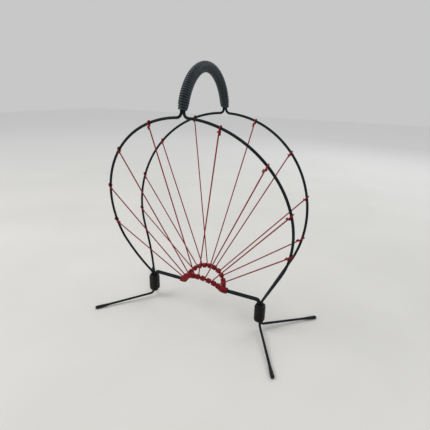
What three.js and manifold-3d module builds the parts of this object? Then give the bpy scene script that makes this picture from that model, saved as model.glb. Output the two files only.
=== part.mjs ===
// A magazine or log rack of bent steel wire, strung with red PVC cord.
//
// Two long frame wires, left and right, each make a foot, half of the front hoop, the handle, half
// of the rear hoop and another foot. Two rail wires join the sides and rise into a small arch in
// the middle. A black cord binding ties the four wires together at each side, black cord covers the
// handle, and red strings fan out from the small arches to the hoops.
//
// Millimetres. +Z is up, X runs from left to right and the front hoop is on the -Y side. The origin
// is on the floor, at the centre of the rack's bounding box.
import * as THREE from "three";
import { mergeVertices } from "three/addons/utils/BufferGeometryUtils.js";
import Module from "manifold-3d";

const wasm = await Module();
wasm.setup();

const DEG = Math.PI / 180;
const LEFT = -1;
const RIGHT = 1;
const FRONT = -1;
const REAR = 1;

// ---- Driving dimensions ----

const GAP = 0.3; // clearance between pieces that touch
const COIL_GAP = 0.6; // from a string's loop to the coil beside it, because the arch is curved
const WIRE_R = 2.5;
const STRING_R = 1.2;
const BEND_EASE = 1; // straight wire left beyond a bend

const HOOP_R = 196;
const HOOP_CENTRE = 241.5; // from the floor line up the hoop's own leaning plane
const HOOP_LEAN = 10.08 * DEG; // each hoop leans away from the other
const HOOP_FLOOR_Y = 8.8; // where the hoop's plane meets the floor
const PULL_IN_HEIGHT = 175; // below this the hoop wires leave their plane for the bindings
const HOOP_TOP_BEND_R = 9;

const BINDING_X = 132.1; // from the middle to each binding's axis
const BINDING_BOTTOM = 20;
const BINDING_TOP = 62;
const BINDING_WALL = 5.5; // thickness of cord round the four wires
const BINDING_CORNER_R = 7.5;
const BINDING_TOP_BEND_R = 12; // the hoop wires' bend above the binding
const HOOP_FOOT_RISE = 6; // from the binding's top to the middle of that bend

const RAIL_HEIGHT = 70;
const RAIL_BEND_R = 7.5;
const RAIL_TAIL = 4; // how far a rail's end stays above the binding's bottom

const ARCH_HALF_SPAN = 45;
const ARCH_RISE = 41.6; // along the arch's own leaning plane
const ARCH_LEAN = 37.2 * DEG;
const ARCH_FOOT_BEND_R = 6;
const ARCH_LEG = 6.8; // height of the arch's ends, above which red cord covers it
const STRING_COIL_WALL = 2.9; // thickness of the red cord wound on an arch
const TIE_LENGTH = 6.4; // red cord wound round both rails beside the arch

const STRING_ANGLES = [20.6, 49.1, 76.3, 100.3].map((a) => a * DEG); // on the hoop, from its top
const FIRST_STRING = 3.2; // along the arch, from its apex
const STRING_PITCH = 12.3; // along the arch
const BARE_WIRE = 3.5; // the arch shows between a string and the next coil
const KNOT_R = 1.9;

const HANDLE_ABOVE_HOOP = 83.3; // from the hoop's top to the top of the handle wires
const HANDLE_SPRING = 5.7; // the handle's half-ellipse starts this far below the hoop's top
const HANDLE_CLEAR = 10.8; // bare wire between the hoop's top and the handle's cord
const HANDLE_CORE_WALL = 1.95;
const HANDLE_CORE_TUCK = 2; // the filler stops this far inside the cord's ends
const HANDLE_CORD_WALL = 2;

const FOOT_LENGTH = 135.5; // from the binding's axis to the foot's end, on plan
const FOOT_ANGLES = {
  left: { front: 50.3 * DEG, rear: 52 * DEG },
  right: { front: 60.4 * DEG, rear: 42.5 * DEG },
}; // from the X axis
const KNEE_HEIGHT = 11;
const KNEE_BEND_R = 8;
const TIP_LENGTH = 26;
const TIP_WALL = 1;
const TIP_RIM_WALL = 0.45;
const TIP_NOSE = [
  [1, 0.3],
  [0.7, 0.8],
  [0, 1],
]; // the tip's round end, out from its axis and along it, as shares of its radius
const WIRE_END_SHARE = 0.6; // the wire stops this share of the tip's radius short of its middle
const TIP_FLAT_DEPTH = 0.4; // cut off the tip's round underside, so that it stands flat

// ---- Values that follow from them ----

const WIRE_PITCH = 2 * WIRE_R + GAP; // between two wires that lie side by side
const BORE_R = WIRE_R + GAP;
const BUNDLE_HALF = WIRE_PITCH / 2 + BORE_R; // half the space that two wires side by side take
const BINDING_HALF_WIDTH = BUNDLE_HALF + BINDING_WALL;
const HANDLE_CORE_R = BUNDLE_HALF + HANDLE_CORE_WALL;
const TIP_END_R = BORE_R + TIP_WALL;
const TIP_RIM_R = BORE_R + TIP_RIM_WALL;
const WIRE_END_BACK = WIRE_END_SHARE * TIP_END_R;
const LOOP_SIDES = 10;
// The centreline of a string's loop round a wire. The loop's flat sides clear the wire by the gap.
const RING_R = BORE_R / Math.cos(Math.PI / LOOP_SIDES) + STRING_R;
const COIL_SIDES = 10;
const COIL_INNER_R = BORE_R / Math.cos(Math.PI / COIL_SIDES);
const COIL_OUTER_R = COIL_INNER_R + STRING_COIL_WALL;
const FRAME_X = BINDING_X + WIRE_PITCH / 2; // the frame wires are on the bindings' outer side
const RAIL_X = BINDING_X - WIRE_PITCH / 2; // the rails' ends are on the inner side

const SECTION_SIDES = 8;
const STRING_SIDES = 6;
const LOOP_SECTION_SIDES = 4;
const TIP_SIDES = 12;
const HANDLE_SIDES = 12;
const SLOT_CORNER_STEPS = 3;
const BEND_STEP = 18 * DEG;
const HOOP_STEPS = 24;
const TAIL_STEPS = 6;
const HANDLE_STEPS = 16;
const ARCH_STEPS = 28;
const COIL_STEP = 4; // along the arch
const SLOT_FLAT = 0.01; // left between a slot's two end arcs, so that no point is doubled
const FLOOR_DEPTH = 20; // of the block that cuts the tips flat

// ---- Paths ----

const vec = (x, y, z) => new THREE.Vector3(x, y, z);
const range = (n) => Array.from({ length: n }, (_, i) => i);

// A curve through the points it is given, one step for each. Bends keep their own close steps.
class WirePath extends THREE.Curve {
  constructor(points) {
    super();
    this.points = points;
    this.steps = points.length - 1;
  }
  getPointAt(u) {
    return this.points[Math.round(u * this.steps)].clone();
  }
  getSpacedPoints() {
    return this.points.map((p) => p.clone());
  }
  getTangentAt(u) {
    const i = Math.round(u * this.steps);
    const before = this.points[Math.max(i - 1, 0)];
    const here = this.points[i];
    const after = this.points[Math.min(i + 1, this.steps)];
    const into = here.clone().sub(before).normalize();
    const out = after.clone().sub(here).normalize();
    return into.add(out).normalize();
  }
}

// The arc that rounds a corner between two straight runs.
function bend(before, corner, after, radius) {
  const back = before.clone().sub(corner).normalize();
  const on = after.clone().sub(corner).normalize();
  const half = back.angleTo(on) / 2;
  const reach = radius / Math.tan(half);
  const middle = back.clone().add(on).normalize();
  const centre = corner.clone().addScaledVector(middle, radius / Math.sin(half));
  const first = corner.clone().addScaledVector(back, reach).sub(centre);
  const last = corner.clone().addScaledVector(on, reach).sub(centre);
  const turn = Math.PI - 2 * half;
  const steps = Math.ceil(turn / BEND_STEP);
  return range(steps + 1).map((i) => {
    const k = i / steps;
    return centre
      .clone()
      .addScaledVector(first, Math.sin((1 - k) * turn) / Math.sin(turn))
      .addScaledVector(last, Math.sin(k * turn) / Math.sin(turn));
  });
}

// A point on a hoop's plane: u is sideways from the middle, s is the distance up the plane.
const onHoopPlane = (u, s, front) =>
  vec(u, front * (HOOP_FLOOR_Y + s * Math.sin(HOOP_LEAN)), s * Math.cos(HOOP_LEAN));

// A point on a hoop's round part, at an angle from its top.
const hoopPoint = (angle, side, front) =>
  onHoopPlane(side * HOOP_R * Math.sin(angle), HOOP_CENTRE + HOOP_R * Math.cos(angle), front);

// Where the hoop wires start to bend out above the binding.
const HOOP_FOOT = (BINDING_TOP + HOOP_FOOT_RISE) / Math.cos(HOOP_LEAN);
const HOOP_FOOT_Y = onHoopPlane(0, HOOP_FOOT, REAR).y;

// The lower part of a hoop wire curves in from the hoop's plane to its place in the binding.
function pulledIn(point, front) {
  const low = HOOP_FOOT * Math.cos(HOOP_LEAN);
  const share = Math.max(0, (PULL_IN_HEIGHT - point.z) / (PULL_IN_HEIGHT - low));
  const pull = (HOOP_FOOT_Y - WIRE_PITCH / 2) * share * share;
  return vec(point.x, point.y - front * pull, point.z);
}

const hoopTop = hoopPoint(0, RIGHT, REAR);
const HANDLE_CENTRE = hoopTop.z - HANDLE_SPRING;
const HANDLE_RISE = HANDLE_ABOVE_HOOP + HANDLE_SPRING;

// The handle's half-ellipse, from the front (angle 0) to the rear (180 degrees).
const handlePoint = (angle, x) =>
  vec(x, -hoopTop.y * Math.cos(angle), HANDLE_CENTRE + HANDLE_RISE * Math.sin(angle));

const handleAngleAt = (height) => Math.asin((height - HANDLE_CENTRE) / HANDLE_RISE);

function handleArc(start, x) {
  const step = (Math.PI - 2 * start) / HANDLE_STEPS;
  return range(HANDLE_STEPS + 1).map((i) => handlePoint(start + i * step, x));
}

// Half a hoop, from the binding up to the bend into the handle.
function halfHoop(side, front) {
  const reach = Math.hypot(FRAME_X, HOOP_FOOT - HOOP_CENTRE);
  const bearing = Math.atan2(HOOP_FOOT - HOOP_CENTRE, FRAME_X);
  const touch = Math.PI / 2 - bearing - Math.acos(HOOP_R / reach); // the straight run's tangent
  const last = Math.asin((WIRE_PITCH / 2 + HOOP_TOP_BEND_R + BEND_EASE) / HOOP_R);
  const foot = onHoopPlane(side * FRAME_X, HOOP_FOOT, front);
  const tangent = hoopPoint(touch, side, front);
  const tail = range(TAIL_STEPS).map((i) => foot.clone().lerp(tangent, i / TAIL_STEPS));
  const arc = range(HOOP_STEPS + 1).map((i) =>
    hoopPoint(touch + ((last - touch) * i) / HOOP_STEPS, side, front),
  );
  return [...tail, ...arc].map((p) => pulledIn(p, front));
}

const footAngle = (side, front) =>
  FOOT_ANGLES[side === LEFT ? "left" : "right"][front === FRONT ? "front" : "rear"];

// A foot's knee and its end, where the tip's middle stands on the floor.
function footEnds(side, front) {
  const angle = footAngle(side, front);
  const knee = vec(side * FRAME_X, (front * WIRE_PITCH) / 2, KNEE_HEIGHT);
  const end = vec(
    side * (BINDING_X + FOOT_LENGTH * Math.cos(angle)),
    front * FOOT_LENGTH * Math.sin(angle),
    TIP_END_R - TIP_FLAT_DEPTH,
  );
  return { knee, end, along: end.clone().sub(knee).normalize() };
}

// From a foot's end up through the binding and round half a hoop, to the bend into the handle.
function footAndHoop(side, front) {
  const { knee, end, along } = footEnds(side, front);
  const hoop = halfHoop(side, front);
  const wireEnd = end.clone().addScaledVector(along, -WIRE_END_BACK);
  const top = vec((side * WIRE_PITCH) / 2, front * hoopTop.y, hoopTop.z);
  const rise = handlePoint(handleAngleAt(hoopTop.z + HOOP_TOP_BEND_R + BEND_EASE), top.x);
  rise.y = front * Math.abs(rise.y);
  return [
    wireEnd,
    ...bend(wireEnd, knee, hoop[0], KNEE_BEND_R),
    ...bend(knee, hoop[0], hoop[1], BINDING_TOP_BEND_R),
    ...hoop.slice(1),
    ...bend(hoop.at(-1), top, rise, HOOP_TOP_BEND_R),
  ];
}

function frameWirePath(side) {
  const start = handleAngleAt(hoopTop.z + HOOP_TOP_BEND_R + 2 * BEND_EASE);
  return [
    ...footAndHoop(side, FRONT),
    ...handleArc(start, (side * WIRE_PITCH) / 2),
    ...footAndHoop(side, REAR).reverse(),
  ];
}

// A point on a small arch: u is sideways from the middle, h is the height up the arch's plane.
const onArchPlane = (u, h, front) =>
  vec(u, front * (WIRE_PITCH / 2 + h * Math.sin(ARCH_LEAN)), RAIL_HEIGHT + h * Math.cos(ARCH_LEAN));

const ARCH_END = Math.acos(ARCH_LEG / ARCH_RISE);

// The small arch from its left end to its right end, which getPointAt follows by arc length.
class ArchCurve extends THREE.Curve {
  constructor(front) {
    super();
    this.front = front;
  }
  getPoint(t) {
    const angle = ARCH_END * (2 * t - 1);
    return onArchPlane(
      ARCH_HALF_SPAN * Math.sin(angle),
      ARCH_RISE * Math.cos(angle),
      this.front,
    );
  }
  // The share of the arch's length at a distance to the right of its apex.
  shareAt(distance) {
    return 0.5 + distance / this.getLength();
  }
}

function railPath(front) {
  const y = (front * WIRE_PITCH) / 2;
  const arch = new ArchCurve(front).getPoints(ARCH_STEPS);
  const side = (s) => {
    const end = vec(s * RAIL_X, y, BINDING_BOTTOM + RAIL_TAIL);
    const corner = vec(s * RAIL_X, y, RAIL_HEIGHT);
    const archFoot = vec(s * ARCH_HALF_SPAN, y, RAIL_HEIGHT);
    const leg = s === LEFT ? arch[0] : arch.at(-1);
    return [
      end,
      ...bend(end, corner, archFoot, RAIL_BEND_R),
      ...bend(corner, archFoot, leg, ARCH_FOOT_BEND_R),
    ];
  };
  return [...side(LEFT), ...arch, ...side(RIGHT).reverse()];
}

// ---- Sections and solids ----

const circle = (radius, sides) =>
  range(sides).map((i) => {
    const a = (2 * Math.PI * (i + 0.5)) / sides;
    return new THREE.Vector2(radius * Math.cos(a), radius * Math.sin(a));
  });

// A rectangle with round corners, or a slot with round ends, as a closed outline.
function roundedBox(halfWidth, halfHeight, radius, cornerSteps = 4) {
  const corners = [
    [1, 1],
    [-1, 1],
    [-1, -1],
    [1, -1],
  ];
  return corners.flatMap(([sx, sy], quarter) =>
    range(cornerSteps + 1).map((i) => {
      const a = (quarter + i / cornerSteps) * 90 * DEG;
      return new THREE.Vector2(
        sx * (halfWidth - radius) + radius * Math.cos(a),
        sy * (halfHeight - radius) + radius * Math.sin(a),
      );
    }),
  );
}

function section(outline, hole) {
  const shape = new THREE.Shape(outline);
  if (hole) shape.holes.push(new THREE.Path(hole));
  return shape;
}

const sweep = (shape, points) => {
  const path = new WirePath(points);
  return new THREE.ExtrudeGeometry(shape, { steps: path.steps, extrudePath: path });
};

const wire = (points) => sweep(section(circle(WIRE_R, SECTION_SIDES)), points);

// manifold-3d joins and cuts closed meshes whose shared corners are merged.
function toSolid(geometry) {
  const plain = geometry.clone();
  plain.deleteAttribute("normal");
  plain.deleteAttribute("uv");
  const merged = mergeVertices(plain, 1e-4);
  return new wasm.Manifold(
    new wasm.Mesh({
      numProp: 3,
      vertProperties: new Float32Array(merged.attributes.position.array),
      triVerts: new Uint32Array(merged.index.array),
    }),
  );
}

function toGeometry(solid) {
  const mesh = solid.getMesh();
  const geometry = new THREE.BufferGeometry();
  geometry.setAttribute("position", new THREE.BufferAttribute(mesh.vertProperties, 3));
  geometry.setIndex(new THREE.BufferAttribute(mesh.triVerts, 1));
  return geometry;
}

// A dipped foot tip: a cap that thickens towards its end, with a bore for the wire.
function footTip(side, front) {
  const { end, along } = footEnds(side, front);
  const boreEnd = GAP - WIRE_END_BACK;
  const profile = [
    [0, boreEnd],
    [BORE_R, boreEnd],
    [BORE_R, -TIP_LENGTH],
    [TIP_RIM_R, -TIP_LENGTH],
    [(TIP_RIM_R + TIP_END_R) / 2, -TIP_LENGTH / 2],
    [TIP_END_R, -TIP_END_R],
    ...TIP_NOSE.map(([out, on]) => [out * TIP_END_R, on * TIP_END_R]),
  ].map(([r, y]) => new THREE.Vector2(r, y));
  const cap = new THREE.LatheGeometry(profile, TIP_SIDES);
  cap.applyQuaternion(new THREE.Quaternion().setFromUnitVectors(vec(0, 1, 0), along));
  cap.translate(end.x, end.y, end.z);
  const floor = new THREE.BoxGeometry(4 * TIP_LENGTH, 4 * TIP_LENGTH, FLOOR_DEPTH);
  floor.translate(end.x, end.y, -FLOOR_DEPTH / 2);
  return toGeometry(toSolid(cap).subtract(toSolid(floor)));
}

function binding(side) {
  const shape = section(
    roundedBox(BINDING_HALF_WIDTH, BINDING_HALF_WIDTH, BINDING_CORNER_R),
    roundedBox(BUNDLE_HALF, BUNDLE_HALF, WIRE_R),
  );
  const depth = BINDING_TOP - BINDING_BOTTOM;
  const sleeve = new THREE.ExtrudeGeometry(shape, { depth, bevelEnabled: false });
  sleeve.translate(side * BINDING_X, 0, BINDING_BOTTOM);
  return sleeve;
}

// The handle's round filler, with one slot for both wires, and the cord that covers it.
function handleCore() {
  const slot = roundedBox(BUNDLE_HALF, BORE_R, BORE_R - SLOT_FLAT, SLOT_CORNER_STEPS);
  const start = handleAngleAt(hoopTop.z + HANDLE_CLEAR + HANDLE_CORE_TUCK);
  return sweep(section(circle(HANDLE_CORE_R, HANDLE_SIDES), slot), handleArc(start, 0));
}

function handleWrap() {
  const inner = HANDLE_CORE_R + GAP;
  const shape = section(circle(inner + HANDLE_CORD_WALL, HANDLE_SIDES), circle(inner, HANDLE_SIDES));
  return sweep(shape, handleArc(handleAngleAt(hoopTop.z + HANDLE_CLEAR), 0));
}

// Red cord round both rails, just outside the small arches.
function archTie(side) {
  const across = WIRE_PITCH / 2;
  const shape = section(
    roundedBox(COIL_OUTER_R, across + COIL_OUTER_R, COIL_OUTER_R - SLOT_FLAT),
    roundedBox(COIL_INNER_R, across + COIL_INNER_R, COIL_INNER_R - SLOT_FLAT),
  );
  const tie = new THREE.ExtrudeGeometry(shape, { depth: TIE_LENGTH, bevelEnabled: false });
  tie.rotateY(90 * DEG);
  const start = ARCH_HALF_SPAN + ARCH_FOOT_BEND_R + GAP;
  tie.translate(side === RIGHT ? start : -start - TIE_LENGTH, 0, RAIL_HEIGHT);
  return tie;
}

// A coil of red cord on an arch, between two distances from its apex.
function archCoil(arch, from, to) {
  const a = arch.shareAt(from);
  const b = arch.shareAt(to);
  const steps = Math.max(2, Math.round((to - from) / COIL_STEP));
  const points = range(steps + 1).map((i) => arch.getPointAt(a + ((b - a) * i) / steps));
  return sweep(section(circle(COIL_OUTER_R, COIL_SIDES), circle(COIL_INNER_R, COIL_SIDES)), points);
}

const stringFoot = (i) => FIRST_STRING + i * STRING_PITCH;

// Each coil's two ends, as distances from the apex, from the middle of the arch outwards.
function coilSpans(arch) {
  const half = arch.getLength() / 2;
  const spans = STRING_ANGLES.map((_, i) => {
    const next = i + 1 < STRING_ANGLES.length ? stringFoot(i + 1) - STRING_R - COIL_GAP : half;
    return [stringFoot(i) + STRING_R + BARE_WIRE, next];
  });
  const middle = FIRST_STRING - STRING_R - COIL_GAP;
  return { middle: [-middle, middle], spans };
}

// A string's loop round a wire, at a point on the wire.
function loop(centre, along) {
  const ring = new THREE.TorusGeometry(RING_R, STRING_R, LOOP_SECTION_SIDES, LOOP_SIDES);
  ring.applyQuaternion(new THREE.Quaternion().setFromUnitVectors(vec(0, 0, 1), along));
  ring.translate(centre.x, centre.y, centre.z);
  return toSolid(ring);
}

// The unit vector square to a wire that points nearest to another place.
const squareTo = (along, centre, other) =>
  other.clone().sub(centre).projectOnPlane(along).normalize();

// One red string: a loop round the arch, the taut run, a knot and a loop round the hoop.
function string(side, front, i) {
  const arch = new ArchCurve(front);
  const share = arch.shareAt(side * stringFoot(i));
  const low = arch.getPointAt(share);
  const lowAlong = arch.getTangentAt(share);
  const angle = STRING_ANGLES[i];
  const high = pulledIn(hoopPoint(angle, side, front), front);
  const beyond = pulledIn(hoopPoint(angle + DEG, side, front), front);
  const highAlong = beyond.sub(high).normalize();
  const up = squareTo(lowAlong, low, high);
  const down = squareTo(highAlong, high, low);
  const reach = RING_R - STRING_R / 2; // the run's ends go a little way into the loops
  const start = low.clone().addScaledVector(up, reach);
  const end = high.clone().addScaledVector(down, reach);
  const knot = new THREE.IcosahedronGeometry(KNOT_R);
  const place = start.clone().sub(end).setLength(KNOT_R).add(end);
  knot.translate(place.x, place.y, place.z);
  const run = sweep(section(circle(STRING_R, STRING_SIDES)), [start, end]);
  const solid = toSolid(run)
    .add(loop(low, lowAlong))
    .add(loop(high, highAlong))
    .add(toSolid(knot));
  return toGeometry(solid);
}

// ---- Materials ----

const looks = {
  wire: { color: 0x15191d, roughness: 0.35, metalness: 0.4 },
  tip: { color: 0x101214, roughness: 0.45, metalness: 0 },
  blackCord: { color: 0x1c2226, roughness: 0.4, metalness: 0 },
  core: { color: 0x24282b, roughness: 0.9, metalness: 0 },
  redCord: { color: 0x9c1f22, roughness: 0.45, metalness: 0 },
};

// ---- Assembly ----

const rack = new THREE.Group();

function addPiece(name, geometry, look) {
  const mesh = new THREE.Mesh(geometry, new THREE.MeshStandardMaterial(looks[look]));
  mesh.name = name;
  rack.add(mesh);
}

const SIDES = { left: LEFT, right: RIGHT };
const ENDS = { front: FRONT, rear: REAR };

for (const [sideName, side] of Object.entries(SIDES)) {
  addPiece(sideName + "_frame_wire", wire(frameWirePath(side)), "wire");
  addPiece(sideName + "_binding", binding(side), "blackCord");
  addPiece(sideName + "_arch_tie", archTie(side), "redCord");
}

for (const [endName, front] of Object.entries(ENDS)) {
  const arch = new ArchCurve(front);
  const { middle, spans } = coilSpans(arch);
  addPiece(endName + "_rail_wire", wire(railPath(front)), "wire");
  addPiece(endName + "_arch_coil_middle", archCoil(arch, ...middle), "redCord");
  for (const [sideName, side] of Object.entries(SIDES)) {
    const place = endName + "_" + sideName;
    addPiece(place + "_foot_tip", footTip(side, front), "tip");
    spans.forEach(([near, far], i) => {
      const [from, to] = side === RIGHT ? [near, far] : [-far, -near];
      addPiece(place + "_arch_coil_" + (i + 1), archCoil(arch, from, to), "redCord");
    });
    STRING_ANGLES.forEach((_, i) => {
      addPiece(place + "_string_" + (i + 1), string(side, front, i), "redCord");
    });
  }
}

addPiece("handle_core", handleCore(), "core");
addPiece("handle_wrap", handleWrap(), "blackCord");

// The feet aren't quite alike, so the rack is moved to put its bounding box over the origin.
const box = new THREE.Box3().setFromObject(rack);
rack.position.set(-(box.min.x + box.max.x) / 2, -(box.min.y + box.max.y) / 2, 0);

export default rack;
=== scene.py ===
# %% [markdown]
# # A strung wire rack for logs or magazines
#
# The real rack is two long steel wires bent into feet, hoops and a handle, two short wires that
# join them, and a lot of PVC cord. Black cord is wound round the handle and round the four wires at
# each side. Red cord is wound on two small arches and strung from them to the hoops.
#
# The measured model is loaded first. Everything that is made here lies where that model says.

import math
import random

import bmesh
import bpy
import numpy as np
from mathutils import Matrix, Vector


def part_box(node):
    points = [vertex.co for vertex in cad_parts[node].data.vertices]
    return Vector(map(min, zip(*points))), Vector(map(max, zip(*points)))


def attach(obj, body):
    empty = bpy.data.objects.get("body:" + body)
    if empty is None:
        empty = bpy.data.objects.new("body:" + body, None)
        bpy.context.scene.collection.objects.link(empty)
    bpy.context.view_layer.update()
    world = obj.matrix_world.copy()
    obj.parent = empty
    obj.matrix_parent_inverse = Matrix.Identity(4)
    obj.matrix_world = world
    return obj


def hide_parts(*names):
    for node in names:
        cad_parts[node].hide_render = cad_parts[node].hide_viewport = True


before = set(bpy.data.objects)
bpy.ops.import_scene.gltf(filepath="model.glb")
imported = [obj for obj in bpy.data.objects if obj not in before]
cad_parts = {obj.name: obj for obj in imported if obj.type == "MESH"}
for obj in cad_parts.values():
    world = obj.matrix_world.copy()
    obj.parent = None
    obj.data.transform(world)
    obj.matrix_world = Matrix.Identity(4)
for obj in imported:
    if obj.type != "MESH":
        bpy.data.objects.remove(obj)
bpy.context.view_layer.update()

# %% [markdown]
# The two bindings stand at the same distance from the rack's middle, so their boxes give that
# middle. It isn't the middle of the whole box, because the four feet splay by different amounts. All
# the routes below are worked out about the rack's middle and moved by `SHIFT` as they become meshes.

# %% Find the rack's middle and its sides
MM = 0.001
DEG = math.pi / 180
LEFT, RIGHT = -1, 1
FRONT, REAR = -1, 1
SIDES = {"left": LEFT, "right": RIGHT}
ENDS = {"front": FRONT, "rear": REAR}

left_low, left_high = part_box("left_binding")
right_low, right_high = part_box("right_binding")
left_middle = (left_low + left_high) / 2
right_middle = (right_low + right_high) / 2

SHIFT = Vector(((left_middle.x + right_middle.x) / 2, (left_middle.y + right_middle.y) / 2, 0))
BINDING_X = (right_middle.x - left_middle.x) / 2
BINDING_BOTTOM, BINDING_TOP = left_low.z, left_high.z
BINDING_HALF = (left_high.x - left_low.x) / 2
print("middle", SHIFT, "bindings at", BINDING_X, "from it")

# %% Wire and cord sizes
WIRE_R = 2.5 * MM
CORD_R = 1.2 * MM
WIRE_PITCH = 5.3 * MM  # between two wires that lie side by side
FRAME_X = BINDING_X + WIRE_PITCH / 2  # the long wires are on the bindings' outer side
RAIL_X = BINDING_X - WIRE_PITCH / 2

# %% [markdown]
# ## Camera
#
# The camera looks down on the rack from the front and a little to the right. It is set by a heading,
# a tilt and a small roll, which is how a person holding a camera would describe it. Its three axes
# are worked out from those angles and become the columns of its turn.

# %% Set up the camera
CAMERA_PLACE = Vector((0.3018, -0.5922, 0.4756))
CAMERA_HEADING = 25.5 * DEG
CAMERA_TILT = 19.79 * DEG
CAMERA_ROLL = 1.39 * DEG
CAMERA_LENS = 29.13  # millimetres, for a 36 mm sensor


def make_camera():
    """A camera that looks along its heading, tilted down and rolled a little."""
    ahead = Vector((-math.sin(CAMERA_HEADING), math.cos(CAMERA_HEADING), 0)) * math.cos(CAMERA_TILT)
    ahead.z = -math.sin(CAMERA_TILT)
    level = Vector((math.cos(CAMERA_HEADING), math.sin(CAMERA_HEADING), 0))
    upright = level.cross(ahead)
    across = level * math.cos(CAMERA_ROLL) + upright * math.sin(CAMERA_ROLL)
    up = upright * math.cos(CAMERA_ROLL) - level * math.sin(CAMERA_ROLL)
    turn = Matrix((across, up, -ahead)).transposed()
    camera = bpy.data.objects.new("camera", bpy.data.cameras.new("camera"))
    camera.data.lens = CAMERA_LENS
    camera.matrix_world = Matrix.Translation(CAMERA_PLACE) @ turn.to_4x4()
    bpy.context.collection.objects.link(camera)
    bpy.context.scene.camera = camera
    return camera


camera = make_camera()
print("camera at", camera.location)

# %% [markdown]
# ## Sums with sockets
#
# Node trees are easier to read as sums. This small class wraps a socket, and the usual operators add
# Math nodes. One method, `node`, adds any other kind of node. The same class serves the shader trees
# and the Geometry Nodes trees, because both use the same Math node.


# %% A socket that can be added and multiplied
class Link:
    """A node's socket that Python's own operators can do sums with."""

    def __init__(self, tree, socket=None):
        self.tree = tree
        self.socket = socket

    def node(self, kind, inputs=None, output=0, **settings):
        """Adds a node, with its settings first and then the values or links of its sockets."""
        made = self.tree.nodes.new(kind)
        for name, value in settings.items():
            setattr(made, name, value)
        for key, value in (inputs or {}).items():
            if isinstance(value, Link):
                self.tree.links.new(value.socket, made.inputs[key])
            else:
                made.inputs[key].default_value = value
        return Link(self.tree, made.outputs[output])

    def sum_of(self, operation, *values):
        return self.node("ShaderNodeMath", dict(enumerate(values)), operation=operation)

    def __add__(self, other):
        return self.sum_of("ADD", self, other)

    __radd__ = __add__

    def __sub__(self, other):
        return self.sum_of("SUBTRACT", self, other)

    def __rsub__(self, other):
        return self.sum_of("SUBTRACT", other, self)

    def __mul__(self, other):
        return self.sum_of("MULTIPLY", self, other)

    __rmul__ = __mul__

    def __truediv__(self, other):
        return self.sum_of("DIVIDE", self, other)

    def __pow__(self, other):
        return self.sum_of("POWER", self, other)

    def fit(self, low, high, to_low=0.0, to_high=1.0):
        """Stretches the span from low to high over another one, eased at both ends."""
        values = {"Value": self, 1: low, 2: high, 3: to_low, 4: to_high}
        return self.node("ShaderNodeMapRange", values, interpolation_type="SMOOTHSTEP")


# %% [markdown]
# ## Finishes
#
# Every finish is made in the same three steps: something that says where on the piece we are, a
# few noises that break up the colour, and a fine relief. Coordinates are the object's own, in
# metres, so a scale of 500 gives marks about 2 mm across on every piece.


# %% Helpers for the finishes
class Finish(Link):
    """A material with its own sums, ending in one Principled shader."""

    def __init__(self, name, **constants):
        self.material = bpy.data.materials.new(name)
        self.material.use_nodes = True
        super().__init__(self.material.node_tree)
        self.shader = self.tree.nodes["Principled BSDF"]
        self.place = self.node("ShaderNodeTexCoord", output="Object")
        for socket, value in constants.items():
            self.shader.inputs[socket.replace("_", " ")].default_value = value

    def noise(self, scale, detail=3.0, roughness=0.5, place=None):
        values = {"Vector": place or self.place, "Scale": scale}
        values |= {"Detail": detail, "Roughness": roughness}
        return self.node("ShaderNodeTexNoise", values)

    def along(self):
        """The distance along the cord or wire, which its maker stored on its mesh."""
        return self.node("ShaderNodeAttribute", output="Fac", attribute_name="along")

    def blend(self, amount, first, second):
        """One colour turning into another as the amount goes from 0 to 1."""
        values = {0: amount, 6: first, 7: second}
        return self.node("ShaderNodeMix", values, output=2, data_type="RGBA")

    def set(self, colour, roughness, height, relief):
        """Joins the colour, the roughness and a relief in metres to the shader."""
        bump = self.node("ShaderNodeBump", {"Height": height, "Distance": relief, "Strength": 1.0})
        for socket, link in (("Base Color", colour), ("Roughness", roughness), ("Normal", bump)):
            self.tree.links.new(link.socket, self.shader.inputs[socket])
        print(self.material.name, "has", len(self.tree.nodes), "nodes")
        return self.material


def rgb(red, green, blue):
    return (red, green, blue, 1.0)


# %% [markdown]
# **Painted wire.** The steel is dipped or sprayed in a thin blue-black paint. Paint on wire is never
# quite smooth, so there is a fine orange-peel relief, a slow change of tone, a little dust that has
# settled, and rubbed spots that are shinier and a shade lighter.


# %% The wires' blue-black paint
def wire_paint():
    f = Finish("blue_black_paint", Specular_IOR_Level=0.12)
    tone = f.noise(38, 4).fit(0.35, 0.7)
    dust = f.noise(1400, 2).fit(0.62, 0.78)
    rub = f.noise(95, 5, 0.65).fit(0.6, 0.72)
    colour = f.blend(tone, rgb(0.0045, 0.0072, 0.0100), rgb(0.0085, 0.0138, 0.0185))
    colour = f.blend(rub * 0.5, colour, rgb(0.018, 0.024, 0.030))
    colour = f.blend(dust * 0.25, colour, rgb(0.050, 0.053, 0.055))
    roughness = 0.40 + 0.12 * f.noise(210, 3) - 0.10 * rub + 0.15 * dust
    peel = f.noise(820, 2) + 0.35 * f.noise(2600, 1)
    return f.set(colour, roughness, peel, 0.00004)


PAINT = wire_paint()

# %% [markdown]
# **PVC cord.** All the cord is plain extruded PVC. It comes off the die with faint lengthwise
# streaks and shows a little stretching wherever it was pulled tight. Its length is stored on the
# mesh, so the marks can run along the cord instead of across it. One function makes the three
# colours, because only the colour and the gloss differ.


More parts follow.
